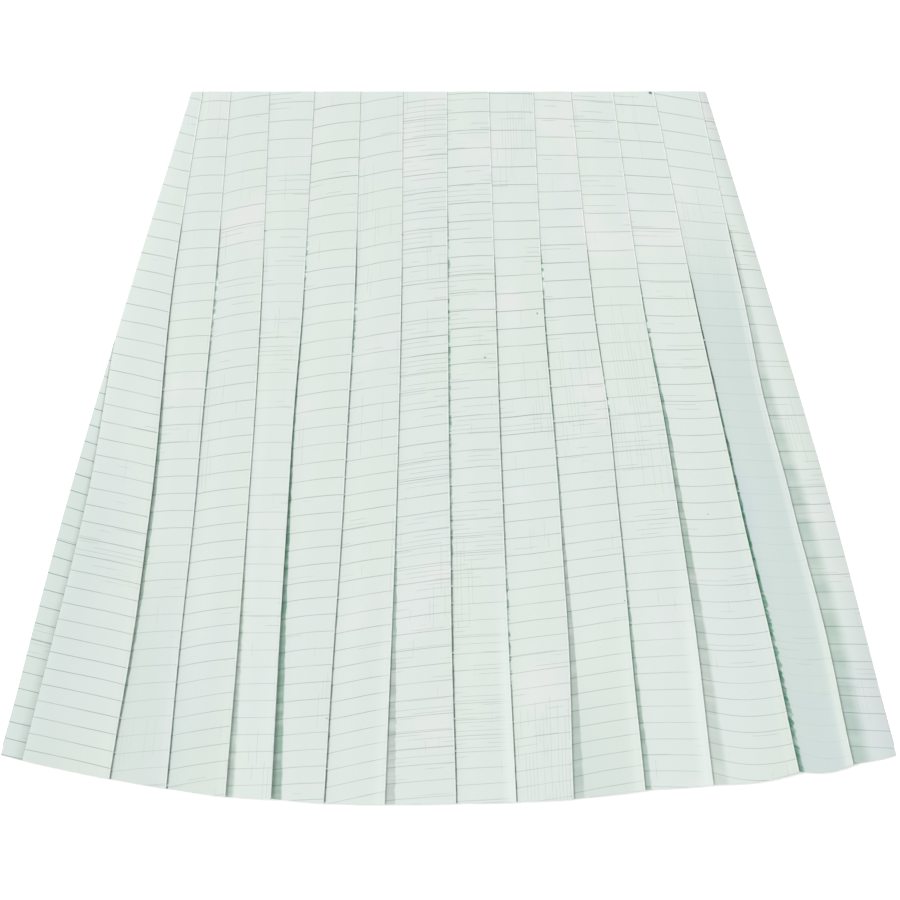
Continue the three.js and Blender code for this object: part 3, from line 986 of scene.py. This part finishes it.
def broken_lines(across_lines, along_lines, pitch, breaks, threshold):
    """Thin parallel lines, each with its own starts and ends: fewer where the threshold is higher."""
    index = weave("Math", [across_lines, pitch * MM], operation="DIVIDE")
    index = weave("Math", [index], operation="ROUND")
    place = weave("CombineXYZ", [product(along_lines, breaks), product(index, NOISE_APART)])
    shown = weave("TexNoise", {"Vector": place, "Scale": 1.0, "Detail": 1.0})
    full = weave("Math", [threshold, BREAK_SOFT], operation="ADD")
    present = weave("MapRange", [shown, threshold, full], **SOFT)
    return product(stripe(across_lines, pitch, *THIN_EDGE), present)


shift = spots(WAVER_SPOTS, detail=1.0, output="Color")
shift = weave("VectorMath", [shift, NOISE_MIDDLE], operation="SUBTRACT")
moved = weave("VectorMath", [shift, WAVER, cloth_map], operation="MULTIPLY_ADD")
weft_place, warp_place = (weave("SeparateXYZ", [moved], axis) for axis in "YX")

lines = product(stripe(weft_place, REPEAT, *LINE_EDGE), notes["ink"], patches("ink"))
finer = weave("Math", [patches("fine"), notes["fine"]], operation="ADD")
finer = weave("MapRange", [finer, *FINE_STEP], **SOFT)
fine = product(broken_lines(weft_place, warp_place, FINE_PITCH, FINE_BREAKS, finer), FINE_STRENGTH)
warp_strength = weave("Math", [notes["cool"], *WARP_STRENGTH], operation="MULTIPLY_ADD")
warp = broken_lines(warp_place, weft_place, WARP_PITCH, WARP_BREAKS, patches("warp"))
warp = product(warp, warp_strength)
print(f"lines every {REPEAT} mm, finer ones every {FINE_PITCH} mm")

# %% [markdown]
# Slubs are thick places in the yarn, a few to a hand's width, that show as darker flecks. The cells of a
# Voronoi texture give each one a place and a chance. The cloth is also a little warmer in places and at
# the waist, and the pleats turned away from the lamp get a painted shade, bluer in places.

# %% Slubs and tones
SLUBS = 42.0                  # places for a slub, to a metre
SLUB_SIZE = (0.018, 0.036, 1.0, 0.0)
SLUB_CHANCE = (0.88, 0.9)
SLUB_COOLNESS = 0.25          # slubs are this much more likely on the cool pleats
WARM_SPOTS = (13.0, (1.0, 1.3))
WARM_TOP = (0.03, 0.16, 0.10, 0.0)   # from and to which place down the cloth the waist's warmth fades
WARM_STEP = (0.60, 0.74)
BLUE_STEP = (0.6, 0.7)        # from and to which place across the cloth it turns bluer
# painted shade for the faces turned from the lamp, bluer in patches
TURNED_AWAY = "#B5C0BC"
TURNED_BLUE = "#B3BDC0"

voronoi = {"Vector": cloth_map, "Scale": SLUBS}
away, cell_colour = (weave("TexVoronoi", voronoi, output) for output in ("Distance", "Color"))
chance = weave("SeparateColor", [cell_colour])
chance = weave("Math", [notes["cool"], SLUB_COOLNESS, chance], operation="MULTIPLY_ADD")
rare = weave("MapRange", [chance, *SLUB_CHANCE], **SOFT)
slubs = product(weave("MapRange", [away, *SLUB_SIZE], **SOFT), rare)

warm = weave("MapRange", [weft_place, *WARM_TOP], **SOFT)
warm = weave("Math", [spots(*WARM_SPOTS), warm], operation="ADD")
warm = weave("MapRange", [warm, *WARM_STEP], **SOFT)
blue = product(patches("blue"), weave("MapRange", [warp_place, *BLUE_STEP], **SOFT))
turned = laid_over(TURNED_AWAY, (blue, TURNED_BLUE))
print(len(twill.node_tree.nodes), "nodes so far")

# %% [markdown]
# The pressed edge of a fold gets a painted highlight, and the hollow beside it a deep green painted shade.
# The shade's far side is uneven, and torn into painted teal dashes and gaps in the stretches that `rough`
# gives. Where a woven line crosses the hollow it is painted darker, and the thread above it gets a painted
# glint.

# %% Edges and hollows
# swings of the painted shade's edge or tone: the height, then the spots to a metre, their squeeze and their
# detail
EDGE_SWING = (0.0018, 130.0, (0.1, 1.0), 3.0)
SHADE_DASH_SWING = (0.0044, 260.0, (0.3, 1.0))
GREEN_SWING = (1.6, 34.0, (0.1, 1.0))
TEAL_STRENGTH = 1.3
TEAL_REACH = 0.0006           # a painted teal dash widens the painted shade by this much, in metres
MISSING_LIGHT = -0.55         # the painted shade is this much lighter where a dash of it is missing
CROSSING_EDGE = (0.25, 0.5)
GLINT_EDGE = (0.3, 0.4)
GLINT_ABOVE = 1.3             # the painted glint lies this far above the woven line, in millimetres
# colours of the painted shade in the hollows
SHADE_GREY = "#566259"
SHADE_GREEN = "#35775A"
SHADE_TEAL = "#12866A"

# painted highlight on the pressed fold edges
rubbed = product(step["rubbed"], patches("rubbed"), notes["rubbed"])
uneven = product(swing(*EDGE_SWING), step["wide"])
uneven = weave("Math", [swing(*SHADE_DASH_SWING), notes["rough"], uneven], operation="MULTIPLY_ADD")
# where the painted shade breaks into teal dashes and gaps
shade_dashes = product(notes["rough"], step["narrow"])
teal = product(shade_dashes, TEAL_STRENGTH, patches("teal"))
start = weave("Math", [notes["gap"], uneven], operation="ADD")
start = weave("Math", [teal, TEAL_REACH, start], operation="MULTIPLY_ADD")
end = weave("Math", [start, notes["fade"]], operation="ADD")
hollow = weave("MapRange", [notes["from_fold"], start, end, 1.0, 0.0], **SOFT)
missing = product(patches("missing"), shade_dashes)
whole = weave("Math", [missing, MISSING_LIGHT, 1.0], operation="MULTIPLY_ADD")
patchy = patches("dark")
greener = weave("Math", [notes["tone"], swing(*GREEN_SWING)], operation="ADD")
greener = weave("MapRange", [greener, 0.0, 1.0], **SOFT)
shade = laid_over(SHADE_GREY, (greener, SHADE_GREEN), (teal, SHADE_TEAL))
# woven lines painted darker where they cross the painted shade
crossing = stripe(weft_place, REPEAT, *CROSSING_EDGE)
crossing = product(crossing, product(hollow, notes["dark"]), step["crossed"])
above = weave("Math", [weft_place, GLINT_ABOVE * MM], operation="ADD")
above = stripe(above, REPEAT, *GLINT_EDGE)
glint = product(above, hollow, step["glint"], patches("glint"), step["glint dark"])
# painted glints, and pale specks where the painted shade is missing
bright = weave("Math", [glint, product(missing, hollow)], operation="MAXIMUM")
print(len(twill.node_tree.nodes), "nodes with the hollows")

# %% Looks of the cloth
THREAD_PITCH = 1.3    # the threads lie 0.5 mm apart, and are drawn coarser because that would not show
THREAD_HEIGHT = 0.06
LINE_HEIGHT = 0.00012
MINT = "#C2C9C6"
colour = laid_over(
    MINT,
    (patches("green"), "#C2CAC3"),
    (warm, "#C7CAC8"),
    # painted shade on the faces turned from the lamp
    (notes["cool"], turned),
    (warp, "#A4B3A8"),
    (fine, "#93A099"),
    (lines, "#7C8983"),
    (slubs, "#84918B"),
    # painted highlights on rims and fold edges, then painted shade in the hollows and along the folds, painted
    # darker lines in the hollows, and painted glints
    (notes["rim"], "#C8D0CB"),
    (rubbed, "#DAE2DE"),
    (product(hollow, product(notes["dark"], patchy, whole)), shade),
    (product(step["crisp"], notes["line"], patchy), "#3F4C45"),
    (crossing, "#4A5F55"),
    (bright, "#E4EAE7"),
)
half_pitch = THREAD_PITCH / 2 * MM
threads = [weave("Math", [side, half_pitch], operation="PINGPONG") for side in (warp_place, weft_place)]
threads = product(weave("Math", threads, operation="ADD"), THREAD_HEIGHT)
raised = weave("Math", [lines, LINE_HEIGHT, threads], operation="MULTIPLY_ADD")
looks = {
    "Base Color": colour,
    "Roughness": 0.85,
    "Specular IOR Level": 0.25,
    "Sheen Weight": 0.1,
    "Sheen Roughness": 0.5,
    "Normal": weave("Bump", {"Height": raised, "Strength": 0.5, "Distance": 1.0}),
}
weave("OutputMaterial", {"Surface": weave("BsdfPrincipled", looks)})
for panel, solid in ((skirt_front, "front_panel"), (skirt_back, "back_panel")):
    panel.data.materials.append(twill)
    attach(panel, "root")
    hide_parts(solid)
print("the cloth is on", skirt_front.name, "and", skirt_back.name)

# %% [markdown]
# ## The zip inside the right seam
#
# An invisible zip lies between front and back, just inside the right seam. Its tape is a narrow woven
# ribbon, its teeth are a nylon coil, and its slider is a small die-cast piece with a drop-shaped tab. The
# coil is a row of small bevelled bars, which is what a coil shows on its outer side. A spiral curve
# would give the whole coil, but all of it lies hidden between two layers of cloth.

# %% Zip sizes
ZIP_TOP = 4.0          # from the waist edge to the upper end
ZIP_LENGTH = 171.0
ZIP_WIDTH = 8.0
ZIP_INSET = 8.0        # from the right seam to the tape


def zip_place(down, aside, z):
    """A point on the zip: down from the waist, and aside from the middle of the tape."""
    v = down / LENGTH
    x = half_width(v) - ZIP_INSET - ZIP_WIDTH / 2 + aside
    return Vector((x, LENGTH / 2 - down_at(x, v), z)) * MM


def finished(name, bm, material):
    """Turns a bmesh into a piece of the skirt."""
    for face in bm.faces:
        face.smooth = True
    piece = from_bmesh(name, bm)
    piece.data.materials.append(material)
    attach(piece, "root")
    return piece


def add_bar(bm, size, bevel, segments=2):
    """A small block with rounded edges, at the origin, in millimetres. Returns its vertices."""
    made = bmesh.ops.create_cube(bm, size=1.0)["verts"]
    bmesh.ops.scale(bm, vec=size, verts=made)
    edges = list({edge for vertex in made for edge in vertex.link_edges})
    rounded = bmesh.ops.bevel(
        bm,
        geom=edges,
        offset=bevel,
        segments=segments,
        affect="EDGES",
        profile=0.5,
        material=-1,
    )
    return list({vertex for face in rounded["faces"] for vertex in face.verts})


print("the zip starts", zip_place(ZIP_TOP, 0.0, 0.0) / MM, "from the middle of the skirt, in millimetres")

# %% [markdown]
# The tape is woven polyester in the skirt's own green, ribbed lengthwise. The coil is the same colour,
# smooth and slightly glossy, as drawn nylon is. The slider is zinc with baked enamel: it looks like a hard
# gloss paint.

# %% Zip materials
ROUGH_SWING = 0.08


def plain_material(name, low, high, scale, roughness, metallic=0.0, stretch=(1.0, 1.0, 1.0), height=0.00005):
    """A material with two close shades, varied and raised by noise in object coordinates."""
    material, add = new_material(name)
    scaled = add("VectorMath", [add("TexCoord", output="Object"), stretch], operation="MULTIPLY")
    grain = add("TexNoise", {"Vector": scaled, "Scale": scale, "Detail": 3.0})
    shade = add("Mix", {0: grain, 6: low, 7: high}, 2, data_type="RGBA")
    rough = add("MapRange", [grain, 0.0, 1.0, roughness - ROUGH_SWING, roughness + ROUGH_SWING])
    bump = add("Bump", {"Height": grain, "Strength": 0.6, "Distance": height})
    looks = {"Base Color": shade, "Roughness": rough, "Metallic": metallic, "Normal": bump}
    add("OutputMaterial", {"Surface": add("BsdfPrincipled", looks)})
    return material


ribbon = plain_material("ribbed polyester tape", "#A9BBB1", "#BCCBC3", 900.0, 0.8, stretch=(1.0, 0.1, 1.0))
nylon = plain_material("drawn nylon coil", "#9DB3A7", "#B4C6BC", 400.0, 0.35)
enamel = plain_material("enamelled zinc", "#A7B9B0", "#C3CFC9", 250.0, 0.25, metallic=0.3)
print("materials of the zip:", ribbon.name, "/", nylon.name, "/", enamel.name)

# %% Tape
TAPE = 0.3             # its thickness
TAPE_LEVEL = 0.6
TAPE_ROWS = 60

bm = bmesh.new()
bmesh.ops.create_grid(bm, x_segments=4, y_segments=TAPE_ROWS, size=0.5)
for vertex in bm.verts:
    down = ZIP_TOP + (0.5 - vertex.co.y) * ZIP_LENGTH
    vertex.co = zip_place(down, vertex.co.x * ZIP_WIDTH, TAPE_LEVEL)
zip_tape = finished("zip_tape", bm, ribbon)
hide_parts("side_zip")
thicken(zip_tape, TAPE)
print(f"tape {ZIP_LENGTH:.0f} mm long")

# %% Coil
COIL_PITCH = 1.5
COIL_BAR = (2.6, 0.8, 0.5)
COIL_BEVEL = 0.15
COIL_CLEAR = 0.02      # from the tape to the coil
COIL_END = 1.5         # the coil starts so many pitches below the tape's upper end

bm = bmesh.new()
bars = int(ZIP_LENGTH / COIL_PITCH) - 2
for i in range(bars):
    bar = add_bar(bm, COIL_BAR, COIL_BEVEL, segments=1)
    side = COIL_BAR[0] / 6 * (1 if i % 2 else -1)
    down = ZIP_TOP + (i + COIL_END) * COIL_PITCH
    seat = zip_place(down, side, TAPE_LEVEL + (TAPE + COIL_BAR[2]) / 2 + COIL_CLEAR)
    for vertex in bar:
        vertex.co = vertex.co * MM + seat
zip_coil = finished("zip_coil", bm, nylon)
print(bars, "bars in the coil")

# %% Slider and tab
SLIDER = (4.5, 9.0, 0.9)
SLIDER_BEVEL = 0.4
SLIDER_BELOW = 5.0     # from the tape's upper end to the slider
SLIDER_CLEAR = 0.05    # from the coil to the slider, which then sinks over it
SLIDER_SINK = 0.3
SLIDER_TAPER = 0.25    # how much narrower it is at its lower end
TAB = (2.2, 7.0, 0.35)
TAB_BEVEL = 0.15
TAB_SINK = 0.1
TAB_DOWN = 2.0         # from the slider's middle to the tab's
TAB_NECK = 0.7         # the tab's width at its upper end, as a share

bm = bmesh.new()
slider_level = TAPE_LEVEL + TAPE / 2 + COIL_BAR[2] + SLIDER_CLEAR + SLIDER[2] / 2 - SLIDER_SINK
slider_seat = zip_place(ZIP_TOP + SLIDER_BELOW + SLIDER[1] / 2, 0.0, 0.0)
for vertex in add_bar(bm, SLIDER, SLIDER_BEVEL):
    taper = 1 - SLIDER_TAPER * clamp(-vertex.co.y / SLIDER[1] * 2)
    moved = Vector((vertex.co.x * taper, vertex.co.y, vertex.co.z + slider_level))
    vertex.co = moved * MM + slider_seat
tab_level = slider_level + (SLIDER[2] + TAB[2]) / 2 - TAB_SINK
for vertex in add_bar(bm, TAB, TAB_BEVEL):
    widen = lerp(TAB_NECK, 1.0, clamp(0.5 - vertex.co.y / TAB[1]))
    moved = Vector((vertex.co.x * widen, vertex.co.y - TAB_DOWN, vertex.co.z + tab_level))
    vertex.co = moved * MM + slider_seat
zip_pull = finished("zip_pull", bm, enamel)
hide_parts("zip_slider")
print(f"slider {1000 * slider_seat.y:.0f} mm above the middle of the skirt")

# %% [markdown]
# ## Thread tacks
#
# Where the strain on a pleat ends, the maker sews a few stitches on the spot. One such tack shows at the
# waist as a small dark knot, and two more sit at the upper ends of free folds. Each is a squashed ball
# of thread: a real knot of curves would be far finer than it shows.

# %% Tacks
# each with its place across the skirt and down from the waist, and its radius, in millimetres
TACKS = (
    (129.3, 1.0, 1.1),
    (FOLDS[2]["hip"] + 2.6, 92.0, 0.45),
    (FOLDS[5]["hip"] + 0.7, 92.0, 0.45),
)
TACK_SHAPE = (1.0, 0.6, 0.35)
TACK_TURN = -25
TACK_RAISED = 0.2      # its middle lies this share of its radius above the cloth
tack_thread = plain_material("twisted sewing thread", "#3E4A46", "#66736E", 1500.0, 0.7, height=0.0001)
bm = bmesh.new()
for x, down, radius in TACKS:
    v = down / LENGTH
    top = level(x, v) + 2 * layer(v) + CLOTH / 2
    ball = bmesh.ops.create_uvsphere(bm, u_segments=16, v_segments=8, radius=radius)["verts"]
    bmesh.ops.scale(bm, vec=TACK_SHAPE, verts=ball)
    bmesh.ops.rotate(bm, verts=ball, matrix=Matrix.Rotation(math.radians(TACK_TURN), 3, "Z"))
    for vertex in ball:
        vertex.co = (vertex.co + Vector((x, LENGTH / 2 - down_at(x, v), top + radius * TACK_RAISED))) * MM
thread_tacks = finished("thread_tacks", bm, tack_thread)
print(len(TACKS), "tacks")

# %% [markdown]
# ## What each panel was cut from
#
# Laid out before folding, a panel is a wide fan: the hem edge is the length of the zigzag at the hem,
# the waist edge the length of the zigzag at the waist.

# %% Flat sizes
for panel, rows, area, under, carried in (
    (skirt_back, [r[1] for r in back_rows], back_area, "floor", [zip_tape, zip_coil, zip_pull]),
    (skirt_front, [r[1] for r in front_rows], front_area, "skirt_back", [thread_tacks]),
):
    waist_edge, hem_edge = (across_cloth(row)[-1] * MM for row in (rows[0], rows[-1]))
    print(f"{panel.name}: waist {waist_edge:.3f} m, hem {hem_edge:.3f} m, {area:.3f} square metres")
